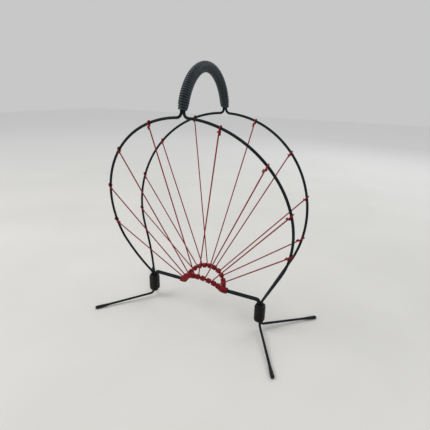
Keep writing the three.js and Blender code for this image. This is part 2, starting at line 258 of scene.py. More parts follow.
# %% Red and black cord
def cord_skin(name, deep, plain, pale, gloss, shine, dirt):
    """PVC in three tones. Gloss is its least roughness, and shine the strength of its highlights."""
    f = Finish(name, Specular_IOR_Level=shine)
    along = f.along()
    cut = f.node("ShaderNodeCombineXYZ", {0: along, 1: along * 0.37})
    stretch = f.noise(210, 4, 0.6, cut).fit(0.34, 0.68)
    slow = f.noise(30, 3).fit(0.3, 0.72)
    specks = f.noise(1900, 2).fit(0.66, 0.8)
    colour = f.blend(slow, rgb(*deep), rgb(*plain))
    colour = f.blend(stretch * 0.4, colour, rgb(*pale))
    colour = f.blend(specks * dirt, colour, rgb(0.10, 0.09, 0.085))
    roughness = gloss + 0.14 * stretch + 0.1 * specks
    skin = f.noise(1500, 2) + 0.8 * f.noise(520, 2, 0.5, cut)
    return f.set(colour, roughness, skin, 0.000035)


RED_CORD = cord_skin(
    "red_pvc",
    deep=(0.160, 0.007, 0.011),
    plain=(0.235, 0.011, 0.016),
    pale=(0.330, 0.025, 0.030),
    gloss=0.34,
    shine=0.14,
    dirt=0.05,
)
BLACK_CORD = cord_skin(
    "black_pvc",
    deep=(0.0085, 0.0150, 0.0200),
    plain=(0.0145, 0.0245, 0.0320),
    pale=(0.030, 0.046, 0.058),
    gloss=0.25,
    shine=0.36,
    dirt=0.2,
)
BINDING_CORD = cord_skin(
    "brown_black_pvc",
    deep=(0.0026, 0.0022, 0.0018),
    plain=(0.0056, 0.0047, 0.0038),
    pale=(0.012, 0.010, 0.008),
    gloss=0.27,
    shine=0.24,
    dirt=0.1,
)

# %% [markdown]
# **Dipped tips.** Each foot ends in a tip of soft vinyl that was dipped and hung up to dry. It is
# glossier than the paint, with shallow runs, and its underside is scuffed where it meets the floor.


# %% The vinyl of the foot tips
def tip_vinyl():
    f = Finish("dipped_vinyl", Specular_IOR_Level=0.2)
    height = f.node("ShaderNodeSeparateXYZ", {0: f.place}, output=2)
    scuff = (1 - height.fit(0.0004, 0.0022)) * f.noise(900, 4, 0.7).fit(0.3, 0.6)
    runs = f.noise(160, 3)
    colour = f.blend(runs.fit(0.35, 0.7), rgb(0.0040, 0.0048, 0.0056), rgb(0.0090, 0.0100, 0.0112))
    colour = f.blend(scuff * 0.8, colour, rgb(0.060, 0.058, 0.055))
    roughness = 0.24 + 0.12 * runs + 0.4 * scuff
    return f.set(colour, roughness, runs + 0.1 * f.noise(1600, 2), 0.0002)


TIP_VINYL = tip_vinyl()


# %% The soft filler under the wound cord
def filler_foam():
    f = Finish("filler", Specular_IOR_Level=0.3)
    cells = f.node("ShaderNodeTexVoronoi", {"Vector": f.place, "Scale": 1500}, output="Distance")
    colour = f.blend(cells.fit(0.1, 0.6), rgb(0.004, 0.004, 0.005), rgb(0.012, 0.012, 0.013))
    return f.set(colour, 0.8 + 0.15 * f.noise(400), cells, 0.0001)


FILLER = filler_foam()

# %% [markdown]
# ## Two trees for everything that follows a path
#
# Nearly every piece of this rack is a round section that follows a path. Bending a bevelled curve
# would do it too, but a Geometry Nodes tree keeps the sizes as named inputs and stores the
# distance along the piece for its finish. The first tree makes a plain rod. Its ends can be closed
# to a small round, as a cut cord looks once its end is melted.


# %% Helpers for Geometry Nodes trees
def new_tree(name, inputs):
    """A tree that takes a path and named inputs. Returns the tree and a link for each input."""
    tree = bpy.data.node_groups.new(name, "GeometryNodeTree")
    tree.interface.new_socket("Path", in_out="INPUT", socket_type="NodeSocketGeometry")
    for label, kind in inputs.items():
        tree.interface.new_socket(label, in_out="INPUT", socket_type="NodeSocket" + kind)
    tree.interface.new_socket("Shape", in_out="OUTPUT", socket_type="NodeSocketGeometry")
    source = tree.nodes.new("NodeGroupInput")
    return tree, {socket.name: Link(tree, socket) for socket in source.outputs if socket.name}


def tube_on(curve, given, scale):
    """Stores the distance along a curve, and gives the curve a round section and a material."""
    length = curve.node("GeometryNodeSplineParameter", output="Length")
    stored = {"Geometry": curve, "Name": "along", "Value": length}
    kept = curve.node("GeometryNodeStoreNamedAttribute", stored)
    ring = {"Resolution": given["Section sides"], "Radius": given["Section radius"]}
    ring = curve.node("GeometryNodeCurvePrimitiveCircle", ring)
    tube = {"Curve": kept, "Profile Curve": ring, "Scale": scale, "Fill Caps": True}
    tube = curve.node("GeometryNodeCurveToMesh", tube)
    smooth = curve.node("GeometryNodeSetShadeSmooth", {"Geometry": tube})
    real = curve.node("GeometryNodeRealizeInstances", {"Geometry": smooth})
    dress = {"Geometry": real, "Material": given["Material"]}
    dressed = curve.node("GeometryNodeSetMaterial", dress)
    end = curve.tree.nodes.new("NodeGroupOutput")
    curve.tree.links.new(dressed.socket, end.inputs["Shape"])


SMALLEST_END = 0.35  # of the rod's radius


def rod_tree():
    """A round rod along a path, with ends that close to a small round."""
    sizes = {"Section radius": "Float", "Section sides": "Int"}
    sizes |= {"End round": "Float", "Material": "Material"}
    tree, given = new_tree("rod", sizes)
    curve = given["Path"].node("GeometryNodeMeshToCurve", {"Mesh": given["Path"]})
    here = curve.node("GeometryNodeSplineParameter", output="Length")
    whole = curve.node("GeometryNodeSplineLength", output="Length")
    nearest = curve.sum_of("MINIMUM", here, whole - here)
    gone = 1 - curve.sum_of("MINIMUM", nearest / given["End round"], 1.0)
    scale = curve.sum_of("MAXIMUM", (1 - gone * gone) ** 0.5, SMALLEST_END)
    tube_on(curve, given, scale)
    return tree


ROD = rod_tree()
print("rod tree:", len(ROD.nodes), "nodes")

# %% [markdown]
# The second tree winds a cord round a path. It samples the path closely, then pushes each sample out
# sideways as it turns, with the same rule as a squared-off ellipse: at squareness 2 the winding is
# round, and above that its corners fill out, as cord does over a bundle of wires. Near the ends the
# winding draws in, so that it tucks down onto whatever it was wound on.


# %% The winding tree
def winding_tree():
    """A cord wound round a path. Side is a direction that is square to the path everywhere."""
    measures = ("Section radius", "Pitch", "Half width", "Half depth")
    measures += ("Squareness", "End width", "End depth", "End length")
    sizes = {measure: "Float" for measure in measures}
    sizes |= {"Section sides": "Int", "Steps a turn": "Int"}
    sizes |= {"Side": "Vector", "Material": "Material"}
    tree, given = new_tree("winding", sizes)
    path = given["Path"].node("GeometryNodeMeshToCurve", {"Mesh": given["Path"]})
    whole = path.node("GeometryNodeCurveLength", {"Curve": path})
    count = whole / given["Pitch"] * given["Steps a turn"] + 1
    fine = path.node("GeometryNodeResampleCurve", {"Curve": path, "Count": count})

    here = path.node("GeometryNodeSplineParameter", output="Length")
    turn = here / given["Pitch"] * (2 * math.pi)
    power = path.sum_of("DIVIDE", 2.0, given["Squareness"])

    def squared(wave):
        """A wave from -1 to 1 whose flanks stand up straighter."""
        return path.sum_of("SIGN", wave) * path.sum_of("ABSOLUTE", wave) ** power

    inwards = path.sum_of("MINIMUM", here, whole - here).fit(0.0, given["End length"])
    width = given["End width"] + (given["Half width"] - given["End width"]) * inwards
    depth = given["End depth"] + (given["Half depth"] - given["End depth"]) * inwards
    wide = squared(path.sum_of("COSINE", turn)) * width
    deep = squared(path.sum_of("SINE", turn)) * depth

    def vectors(operation, inputs):
        return path.node("ShaderNodeVectorMath", inputs, operation=operation)

    tangent = path.node("GeometryNodeInputTangent")
    other = vectors("CROSS_PRODUCT", {0: given["Side"], 1: tangent})
    sideways = vectors("SCALE", {0: given["Side"], "Scale": wide})
    outwards = vectors("SCALE", {0: other, "Scale": deep})
    push = vectors("ADD", {0: sideways, 1: outwards})
    wound = path.node("GeometryNodeSetPosition", {"Geometry": fine, "Offset": push})
    tube_on(wound, given, 1.0)
    return tree


WINDING = winding_tree()
print("winding tree:", len(WINDING.nodes), "nodes")

# %% [markdown]
# A tree needs an object to work on. `follow` lays the path as a chain of edges, hangs the tree on it
# as a modifier, and keeps only the plain mesh that comes out. The few pieces that follow no path are
# built from rings of corners, and `bridge` and `from_bmesh` do what they share. `settle` then hides
# the measured part that the new piece stands for. Nothing on this rack moves, so every piece rides on
# the one body.


# %% Turn a path and a tree into a plain mesh
def close_ended(points, reach):
    """The same path with extra points near its ends, so that only the ends are rounded."""
    first, last = points[0], points[-1]
    on, back = (points[1] - first).normalized(), (points[-2] - last).normalized()
    shares = (0.25, 0.6, 1.0)
    opening = [first + on * reach * share for share in shares]
    closing = [last + back * reach * share for share in reversed(shares)]
    between = [p for p in points[1:-1] if min((p - first).length, (p - last).length) > reach]
    return [first] + opening + between + closing + [last]


def follow(name, points, tree, **sizes):
    """The mesh that a tree makes along a path. Sizes are named as the tree's inputs are."""
    if "end_round" in sizes:
        points = close_ended(points, sizes["end_round"])
    sizes = {label.replace("_", " ").capitalize(): value for label, value in sizes.items()}
    line = bpy.data.meshes.new(name + "_path")
    line.from_pydata([p + SHIFT for p in points], [(i, i + 1) for i in range(len(points) - 1)], [])
    holder = bpy.data.objects.new(name + "_path", line)
    bpy.context.collection.objects.link(holder)
    modifier = holder.modifiers.new("shape", "NODES")
    modifier.node_group = tree
    for item in tree.interface.items_tree:
        if item.in_out == "INPUT" and item.name in sizes:
            modifier[item.identifier] = sizes[item.name]
    graph = bpy.context.evaluated_depsgraph_get()
    mesh = bpy.data.meshes.new_from_object(holder.evaluated_get(graph))
    bpy.data.objects.remove(holder)
    bpy.data.meshes.remove(line)
    return as_piece(name, mesh)


def as_piece(name, mesh):
    mesh.name = name
    piece = bpy.data.objects.new(name, mesh)
    bpy.context.collection.objects.link(piece)
    return piece


def bridge(made, rings):
    """Joins each ring of corners to the next one with four-sided faces."""
    for low, high in zip(rings, rings[1:]):
        for i in range(len(low)):
            j = (i + 1) % len(low)
            made.faces.new((low[i], low[j], high[j], high[i]))


def from_bmesh(name, made, material):
    bmesh.ops.recalc_face_normals(made, faces=made.faces)
    mesh = bpy.data.meshes.new(name)
    made.to_mesh(mesh)
    made.free()
    mesh.materials.append(material)
    return as_piece(name, mesh)


def settle(piece, slot, *nodes):
    """Lets a piece ride on the rack, and hides the measured parts that it stands for."""
    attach(piece, "root")
    if nodes:
        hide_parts(*nodes)
    print(f"{piece.name}: {len(piece.data.polygons)} faces")


# %% [markdown]
# ## The wires
#
# Each hoop is part of a circle on a plane that leans outwards. Low down, the hoop's wires curve in
# towards each other to meet at the bindings. These functions give points on those planes. The small
# arches lean out too, and follow nearly half an ellipse, down to the bends at their feet.

# %% Hoop, arch and handle sizes
HOOP_R = 196 * MM
HOOP_CENTRE = 241.5 * MM  # from the floor line up the hoop's own leaning plane
HOOP_LEAN = 10.08 * DEG
HOOP_FLOOR_Y = 8.8 * MM  # where the hoop's plane meets the floor
HOOP_FOOT_RISE = 6 * MM
HOOP_FOOT = (BINDING_TOP + HOOP_FOOT_RISE) / math.cos(HOOP_LEAN)
PULL_IN_HEIGHT = 175 * MM
HOOP_TOP_BEND_R = 9 * MM
BINDING_TOP_BEND_R = 12 * MM
BEND_EASE = 1 * MM  # straight wire left beyond a bend

HANDLE_ABOVE_HOOP = 83.3 * MM
HANDLE_SPRING = 5.7 * MM

RAIL_HEIGHT = 70 * MM
RAIL_BEND_R = 7.5 * MM
RAIL_TAIL = 4 * MM
ARCH_HALF_SPAN = 45 * MM
ARCH_RISE = 41.6 * MM
ARCH_LEAN = 37.2 * DEG
ARCH_FOOT_BEND_R = 6 * MM
ARCH_LEG = 6.8 * MM

FOOT_LENGTH = 135.5 * MM
FOOT_ANGLES = {(LEFT, FRONT): 50.3, (LEFT, REAR): 52.0, (RIGHT, FRONT): 60.4, (RIGHT, REAR): 42.5}
KNEE_HEIGHT = 11 * MM
KNEE_BEND_R = 8 * MM
TIP_LENGTH = 26 * MM
TIP_R = 3.8 * MM
TIP_FLAT = 0.4 * MM  # pressed flat where it stands on the floor

BEND_STEP = 6 * DEG
HOOP_STEPS = 96
TAIL_STEPS = 16
HANDLE_STEPS = 72
ARCH_STEPS = 64


# %% Points on the hoops, the handle and the arches
def on_hoop_plane(sideways, up_plane, front):
    out = HOOP_FLOOR_Y + up_plane * math.sin(HOOP_LEAN)
    return Vector((sideways, front * out, up_plane * math.cos(HOOP_LEAN)))


def hoop_point(angle, side, front):
    """A point on a hoop's round part, at an angle from its top."""
    up_plane = HOOP_CENTRE + HOOP_R * math.cos(angle)
    return on_hoop_plane(side * HOOP_R * math.sin(angle), up_plane, front)


def pulled_in(point, front):
    """Low on the hoop, the wire leaves its plane and curves in to the binding."""
    foot = on_hoop_plane(0, HOOP_FOOT, REAR)
    share = max(0, (PULL_IN_HEIGHT - point.z) / (PULL_IN_HEIGHT - foot.z))
    pull = (foot.y - WIRE_PITCH / 2) * share * share
    return point - Vector((0, front * pull, 0))


HOOP_TOP = hoop_point(0, RIGHT, REAR)
HANDLE_CENTRE = HOOP_TOP.z - HANDLE_SPRING
HANDLE_RISE = HANDLE_ABOVE_HOOP + HANDLE_SPRING


def handle_point(angle, sideways):
    """The handle is a half-ellipse from the front hoop (angle 0) to the rear one."""
    height = HANDLE_CENTRE + HANDLE_RISE * math.sin(angle)
    return Vector((sideways, -HOOP_TOP.y * math.cos(angle), height))


def handle_angle_at(height):
    return math.asin((height - HANDLE_CENTRE) / HANDLE_RISE)


def handle_arc(start, sideways):
    step = (math.pi - 2 * start) / HANDLE_STEPS
    return [handle_point(start + i * step, sideways) for i in range(HANDLE_STEPS + 1)]


def on_arch_plane(sideways, up_plane, front):
    out = WIRE_PITCH / 2 + up_plane * math.sin(ARCH_LEAN)
    return Vector((sideways, front * out, RAIL_HEIGHT + up_plane * math.cos(ARCH_LEAN)))


ARCH_END = math.acos(ARCH_LEG / ARCH_RISE)


def arch_point(angle, front):
    return on_arch_plane(ARCH_HALF_SPAN * math.sin(angle), ARCH_RISE * math.cos(angle), front)


# %% [markdown]
# A wire is bent round a former, so each corner is a true arc. `bend` gives the arc that rounds a
# corner between two straight runs. The long wire is then simply its stretches one after another:
# foot, binding, half a hoop, handle, and the same again in reverse.


# %% Bend the long wires
def bend(before, corner, after, radius):
    """The arc that rounds the corner between two straight runs."""
    back = (before - corner).normalized()
    on = (after - corner).normalized()
    half = back.angle(on) / 2
    centre = corner + (back + on).normalized() * (radius / math.sin(half))
    first = corner + back * (radius / math.tan(half)) - centre
    last = corner + on * (radius / math.tan(half)) - centre
    turn = math.pi - 2 * half
    steps = max(2, math.ceil(turn / BEND_STEP))
    arc = []
    for i in range(steps + 1):
        share = i / steps
        out = first * math.sin((1 - share) * turn) + last * math.sin(share * turn)
        arc.append(centre + out / math.sin(turn))
    return arc


def half_hoop(side, front):
    """Half a hoop, from the binding up to the bend into the handle."""
    reach = math.hypot(FRAME_X, HOOP_FOOT - HOOP_CENTRE)
    bearing = math.atan2(HOOP_FOOT - HOOP_CENTRE, FRAME_X)
    touch = math.pi / 2 - bearing - math.acos(HOOP_R / reach)
    last = math.asin((WIRE_PITCH / 2 + HOOP_TOP_BEND_R + BEND_EASE) / HOOP_R)
    foot = on_hoop_plane(side * FRAME_X, HOOP_FOOT, front)
    tangent = hoop_point(touch, side, front)
    tail = [foot.lerp(tangent, i / TAIL_STEPS) for i in range(TAIL_STEPS)]
    angles = [touch + (last - touch) * i / HOOP_STEPS for i in range(HOOP_STEPS + 1)]
    arc = [hoop_point(angle, side, front) for angle in angles]
    return [pulled_in(point, front) for point in tail + arc]


def foot_ends(side, front):
    """A foot's knee, the middle of its tip's round end, and the direction between them."""
    angle = FOOT_ANGLES[side, front] * DEG
    knee = Vector((side * FRAME_X, front * WIRE_PITCH / 2, KNEE_HEIGHT))
    out = BINDING_X + FOOT_LENGTH * math.cos(angle)
    end = Vector((side * out, front * FOOT_LENGTH * math.sin(angle), TIP_R - TIP_FLAT))
    return knee, end, (end - knee).normalized()


def foot_and_hoop(side, front):
    knee, end, along = foot_ends(side, front)
    hoop = half_hoop(side, front)
    wire_end = end - along * TIP_R
    top = Vector((side * WIRE_PITCH / 2, front * HOOP_TOP.y, HOOP_TOP.z))
    rise = handle_point(handle_angle_at(HOOP_TOP.z + HOOP_TOP_BEND_R + BEND_EASE), top.x)
    rise.y = front * abs(rise.y)
    knee_bend = bend(wire_end, knee, hoop[0], KNEE_BEND_R)
    hoop_foot_bend = bend(knee, hoop[0], hoop[1], BINDING_TOP_BEND_R)
    handle_bend = bend(hoop[-1], top, rise, HOOP_TOP_BEND_R)
    return [wire_end] + knee_bend + hoop_foot_bend + hoop[1:] + handle_bend


def frame_wire_path(side):
    start = handle_angle_at(HOOP_TOP.z + HOOP_TOP_BEND_R + 2 * BEND_EASE)
    over = handle_arc(start, side * WIRE_PITCH / 2)
    return foot_and_hoop(side, FRONT) + over + foot_and_hoop(side, REAR)[::-1]


WIRE = {"section_radius": WIRE_R, "section_sides": 20, "end_round": 0.2 * MM, "material": PAINT}

for side_name, side in SIDES.items():
    long_wire = follow(side_name + "_bent_wire", frame_wire_path(side), ROD, **WIRE)
    settle(long_wire, "wire", side_name + "_frame_wire")


# %% Bend the two rails with their arches
def rail_path(front):
    """From inside the left binding, over the small arch, to inside the right one."""
    y = front * WIRE_PITCH / 2
    angles = [ARCH_END * (2 * i / ARCH_STEPS - 1) for i in range(ARCH_STEPS + 1)]
    arch = [arch_point(angle, front) for angle in angles]

    def end_of(side, leg):
        end = Vector((side * RAIL_X, y, BINDING_BOTTOM + RAIL_TAIL))
        corner = Vector((side * RAIL_X, y, RAIL_HEIGHT))
        arch_foot = Vector((side * ARCH_HALF_SPAN, y, RAIL_HEIGHT))
        first = bend(end, corner, arch_foot, RAIL_BEND_R)
        return [end] + first + bend(corner, arch_foot, leg, ARCH_FOOT_BEND_R)

    return end_of(LEFT, arch[0]) + arch + end_of(RIGHT, arch[-1])[::-1]


for end_name, front in ENDS.items():
    rail = follow(end_name + "_bent_rail", rail_path(front), ROD, **WIRE)
    settle(rail, "wire", end_name + "_rail_wire")

# %% [markdown]
# ## Dipped foot tips
#
# A dipped tip is thin where the wire enters it and swells towards its end, because the vinyl runs
# down while it sets. A profile turned about the wire makes that shape. The points that would go
# through the floor are lifted to it, which presses the tip flat where it stands.

# %% Turn the foot tips
TIP_SIDES = 32
TIP_MOUTH = 0.98 * WIRE_R  # the closed end, just inside the wire's own surface
TIP_RIM = 2.75 * MM
TIP_LIP = 0.6 * MM
TIP_SWELL = 1.3  # above 1, the tip stays thin for longer before it swells
TIP_STEPS = 14
NOSE_STEPS = 8
SAME_PLACE = 0.01 * MM  # corners nearer than this become one


def tip_profile():
    """Distances along the tip from the middle of its round end, and the radius at each."""
    lip = [(-TIP_LENGTH, 0.0), (-TIP_LENGTH, TIP_MOUTH)]
    lip.append((-TIP_LENGTH + TIP_LIP / 3, TIP_RIM - TIP_LIP / 3))
    swell = []
    for i in range(TIP_STEPS):
        share = i / TIP_STEPS
        radius = TIP_RIM + (TIP_R - TIP_RIM) * math.sin(share * math.pi / 2) ** TIP_SWELL
        swell.append((-TIP_LENGTH + TIP_LIP + share * (TIP_LENGTH - TIP_LIP), radius))
    turns = [i * math.pi / 2 / NOSE_STEPS for i in range(NOSE_STEPS + 1)]
    return lip + swell + [(TIP_R * math.sin(turn), TIP_R * math.cos(turn)) for turn in turns]


def turned(name, end, along, profile, material):
    """A closed solid turned about an axis, pressed flat at the floor."""
    side = along.cross(Vector((0, 0, 1))).normalized()
    up = side.cross(along)
    made = bmesh.new()
    rings = []
    for distance, radius in profile:
        ring = []
        for i in range(TIP_SIDES):
            turn = 2 * math.pi * i / TIP_SIDES
            place = end + along * distance + (side * math.cos(turn) + up * math.sin(turn)) * radius
            place.z = max(place.z, 0)
            ring.append(made.verts.new(place + SHIFT))
        rings.append(ring)
    bridge(made, rings)
    bmesh.ops.remove_doubles(made, verts=made.verts, dist=SAME_PLACE)
    piece = from_bmesh(name, made, material)
    piece.data.shade_smooth()
    return piece


for side_name, side in SIDES.items():
    for end_name, front in ENDS.items():
        foot_name = f"{end_name}_{side_name}"
        _, end, along = foot_ends(side, front)
        tip = turned(foot_name + "_dipped_tip", end, along, tip_profile(), TIP_VINYL)
        settle(tip, "tip", foot_name + "_foot_tip")

# %% [markdown]
# ## Bindings
#
# Four wires meet at each side: two long ones and the ends of the two rails. The real rack ties them
# with about ten tight turns of cord. The cord goes over a filler, which keeps the turns
# square, and its last turn at each end is tucked under. The winding tree makes the cord, and a block
# with rounded corners fills the space behind it.

# %% Wind the bindings
BINDING_CORD_R = 1.95 * MM
BINDING_SQUARENESS = 3.4
BINDING_TURNS = 9.5
BINDING_TUCK = 1.7 * MM  # how far the first and the last turn draw in
FILLER_INSET = 1.1 * MM  # below the cord's own middle, so that no filler shows between turns
FILLER_END = 3 * MM
OUTLINE_STEPS = 48


def squared_outline(half):
    """A square with round corners, as square as the bindings' own turns."""
    points = []
    for i in range(OUTLINE_STEPS):
        turn = 2 * math.pi * (i + 0.5) / OUTLINE_STEPS
        cosine, sine = math.cos(turn), math.sin(turn)
        total = abs(cosine) ** BINDING_SQUARENESS + abs(sine) ** BINDING_SQUARENESS
        reach = half * total ** (-1 / BINDING_SQUARENESS)
        points.append((reach * cosine, reach * sine))
    return points


def filler_block(name, middle, half):
    """The block of filler inside a binding, with its two ends drawn in a little."""
    made = bmesh.new()
    low, high = BINDING_BOTTOM + FILLER_END, BINDING_TOP - FILLER_END
    levels = [(low, half - FILLER_END), (low + FILLER_END, half)]
    levels += [(high - FILLER_END, half), (high, half - FILLER_END)]
    rings = []
    for height, size in levels:
        places = [SHIFT + Vector((middle + x, y, height)) for x, y in squared_outline(size)]
        rings.append([made.verts.new(place) for place in places])
    bridge(made, rings)
    made.faces.new(rings[0])
    made.faces.new(rings[-1])
    return from_bmesh(name, made, FILLER)


def wound_binding(name, side):
    half = BINDING_HALF - BINDING_CORD_R
    first = Vector((side * BINDING_X, 0, BINDING_BOTTOM + BINDING_CORD_R))
    last = Vector((side * BINDING_X, 0, BINDING_TOP - BINDING_CORD_R))
    return follow(
        name,
        [first, first.lerp(last, 0.5), last],
        WINDING,
        section_radius=BINDING_CORD_R,
        section_sides=10,
        pitch=(last.z - first.z) / BINDING_TURNS,
        steps_a_turn=40,
        side=(1.0, 0.0, 0.0),
        half_width=half,
        half_depth=half,
        squareness=BINDING_SQUARENESS,
        end_width=half - BINDING_TUCK,
        end_depth=half - BINDING_TUCK,
        end_length=2 * BINDING_CORD_R,
        material=BINDING_CORD,
    )


for side_name, side in SIDES.items():
    settle(wound_binding(side_name + "_binding_cord", side), "black_cord", side_name + "_binding")
    inside = BINDING_HALF - BINDING_CORD_R - FILLER_INSET
    settle(filler_block(side_name + "_binding_filler", side * BINDING_X, inside), "core")

# %% [markdown]
# ## Handle
#
# The two long wires run over the top side by side. They are padded with a round filler and wound
# with a thick black cord from one hoop to the other. The winding is round in the middle, and over
# about the last centimetre it flattens down onto the two wires.

# %% Wind the handle
HANDLE_CORD_R = 1.95 * MM
HANDLE_CLEAR = 10.8 * MM  # bare wire between the hoop's top and the cord
HANDLE_OUTER_R = 9.7 * MM
HANDLE_END_WIDTH = 7.1 * MM  # from the middle to the cord's own middle, at the winding's ends
HANDLE_END_DEPTH = 4.6 * MM
HANDLE_DRAW_IN = 12 * MM
HANDLE_FILLER_R = 6.0 * MM

handle_cord = follow(
    "handle_cord",
    handle_arc(handle_angle_at(HOOP_TOP.z + HANDLE_CLEAR + HANDLE_CORD_R), 0),
    WINDING,
    section_radius=HANDLE_CORD_R,
    section_sides=12,
    pitch=2.02 * HANDLE_CORD_R,
    steps_a_turn=24,
    side=(1.0, 0.0, 0.0),
    half_width=HANDLE_OUTER_R - HANDLE_CORD_R,
    half_depth=HANDLE_OUTER_R - HANDLE_CORD_R,
    squareness=2.0,
    end_width=HANDLE_END_WIDTH,
    end_depth=HANDLE_END_DEPTH,
    end_length=HANDLE_DRAW_IN,
    material=BLACK_CORD,
)
settle(handle_cord, "black_cord", "handle_wrap")

padding = handle_arc(handle_angle_at(HOOP_TOP.z + HANDLE_CLEAR + HANDLE_DRAW_IN), 0)
PAD = {"section_radius": HANDLE_FILLER_R, "section_sides": 24, "end_round": 1 * MM}
pad = follow("handle_filler", padding, ROD, material=FILLER, **PAD)
settle(pad, "core", "handle_core")

# %% [markdown]
# ## Red coils on the small arches
#
# Red cord is wound close on each arch in two layers, with a short stretch of bare wire outside every
# string. The first layer is hidden but for its ends, so it is made as a plain lining, and the strings
# turn round it too. Places are distances along the arch from its top, so the arch's length is summed
# up in small steps once and looked up from then on.

# %% Find places along an arch
FIRST_STRING = 3.2 * MM
STRING_PITCH = 12.3 * MM
BARE_WIRE = 2.4 * MM  # from a string to the coil outside it
COIL_GAP = 0.1 * MM  # from a string to the coil inside it
STRING_ANGLES = [20.6, 49.1, 76.3, 100.3]  # on the hoop, in degrees from its top
TABLE_SIZE = 400

table_angles = np.linspace(0, ARCH_END, TABLE_SIZE)
table_across = ARCH_HALF_SPAN * np.sin(table_angles)
table_up = ARCH_RISE * np.cos(table_angles)
table_steps = np.hypot(np.diff(table_across), np.diff(table_up))
table_lengths = np.concatenate([[0], np.cumsum(table_steps)])
HALF_ARCH = float(table_lengths[-1])
print("each arch has", round(2 * HALF_ARCH, 4), "m of wire")


def arch_at(distance, front):
    """The point at a distance along an arch from its top, to the right if it is above 0."""
    angle = float(np.interp(abs(distance), table_lengths, table_angles))
    return arch_point(math.copysign(angle, distance), front)


def string_foot(i):
    return FIRST_STRING + i * STRING_PITCH


# %% Wind the coils
COIL_PITCH = 2.04 * CORD_R
COIL_OUTER_R = 5.8 * MM
COIL_R = COIL_OUTER_R - CORD_R  # from the arch's middle to the cord's middle
COIL_END_R = COIL_R - 0.15 * CORD_R
LINING_R = COIL_R - 0.3 * CORD_R
LINING_REACH = 3.2 * CORD_R  # how far a lining goes on past its coil, under the string's turn
ARCH_FOOT_SHARE = 0.6  # how far round the bend at the arch's foot the last coil goes
COIL_POINTS = 24
COIL_SIZES = {
    "section_radius": CORD_R,
    "section_sides": 8,
    "steps_a_turn": 18,
    "half_width": COIL_R,
    "half_depth": COIL_R,
    "squareness": 2.0,
    "end_width": COIL_END_R,
    "end_depth": COIL_END_R,
    "end_length": 0.5 * COIL_PITCH,
    "material": RED_CORD,
}
LINING = {"section_radius": LINING_R, "section_sides": 20, "end_round": 0.3 * MM}
LINING["material"] = RED_CORD


def foot_bend(side, front):
    """The first part of the bend at an arch's foot, from the arch downwards."""
    y = front * WIRE_PITCH / 2
    corner = Vector((side * RAIL_X, y, RAIL_HEIGHT))
    arch_foot = Vector((side * ARCH_HALF_SPAN, y, RAIL_HEIGHT))
    whole = bend(corner, arch_foot, arch_point(side * ARCH_END, front), ARCH_FOOT_BEND_R)[::-1]
    return whole[: round(len(whole) * ARCH_FOOT_SHARE)]


def length_of(points):
    return sum((there - here).length for here, there in zip(points, points[1:]))


def arch_stretch(first, last, front):
    return [arch_at(first + (last - first) * i / COIL_POINTS, front) for i in range(COIL_POINTS + 1)]


def coil(node, front, start, stop, foot, string_at_start):
    """Red cord wound on an arch between two distances from its top, with its lining.

    The last coil goes on round the arch's foot. Any other one has a string at its stop, and the
    middle one has a string at both of its ends.
    """
    onward = math.copysign(CORD_R, stop - start)
    first, last = start + onward, stop - (0 if foot else onward)
    points = arch_stretch(first, last, front) + foot
    plane = Vector((0, front * math.cos(ARCH_LEAN), -math.sin(ARCH_LEAN)))
    length = length_of(points)
    turns = max(1, round(length / COIL_PITCH * 4) / 4)  # a whole number of quarter turns
    sizes = COIL_SIZES | {"pitch": length / turns, "side": plane}
    settle(follow(node + "_cord", points, WINDING, **sizes), "red_cord", node)
    if not foot:
        under_string = math.copysign(LINING_REACH, onward)
        lining_first = first - under_string if string_at_start else first
        points = arch_stretch(lining_first, last + under_string, front)
    settle(follow(node + "_lining", points, ROD, **LINING), "red_cord")


for end_name, front in ENDS.items():
    middle = FIRST_STRING - CORD_R - COIL_GAP
    coil(end_name + "_arch_coil_middle", front, -middle, middle, foot=[], string_at_start=True)
    for side_name, side in SIDES.items():
        for i in range(len(STRING_ANGLES)):
            near = string_foot(i) + CORD_R + BARE_WIRE
            last = i + 1 == len(STRING_ANGLES)
            far = HALF_ARCH if last else string_foot(i + 1) - CORD_R - COIL_GAP
            foot = foot_bend(side, front) if last else []
            node = f"{end_name}_{side_name}_arch_coil_{i + 1}"
            coil(node, front, side * near, side * far, foot, string_at_start=False)

# %% [markdown]
# Just outside the arches, the same red cord ties the two rails to each other. Here the winding goes
# over two lined wires side by side, so it is wide and flat, with its corners filled out a little.

# %% Tie the rails together beside the arches
TIE_SQUARENESS = 2.3
TIE_START = 2.5 * MM  # outside the arch's end

for side_name, side in SIDES.items():
    low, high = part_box(side_name + "_arch_tie")
    inner = side * (ARCH_HALF_SPAN + TIE_START)
    outer = max(low.x - SHIFT.x, high.x - SHIFT.x, key=abs)
    along_x = (inner, (inner + outer) / 2, outer - side * CORD_R)
    ends = [Vector((x, 0, RAIL_HEIGHT)) for x in along_x]
    sizes = COIL_SIZES | {"half_width": WIRE_PITCH / 2 + COIL_R, "steps_a_turn": 32}
    sizes |= {"end_width": WIRE_PITCH / 2 + COIL_END_R, "squareness": TIE_SQUARENESS}
    sizes |= {"pitch": COIL_PITCH, "side": (0.0, 1.0, 0.0)}
    tie = follow(side_name + "_tie_cord", ends, WINDING, **sizes)
    settle(tie, "red_cord", side_name + "_arch_tie")
    for end_name, front in ENDS.items():
        along_rail = [p + Vector((0, front * WIRE_PITCH / 2, 0)) for p in ends]
        settle(follow(f"{side_name}_{end_name}_tie_lining", along_rail, ROD, **LINING), "red_cord")

# %% [markdown]
# ## Strings
#
# A string starts with a turn round the arch, over the coils' lining, and runs taut to the hoop. It
# crosses the face of the hoop's wire at a slant, goes over its outer side and comes back behind. Then
# it is wound about once round itself to make the hitch, and a short tail is left along the string.
# The turn round a slanting wire is an ellipse in the plane of the string, which is why the string lies
# flat against the wire.

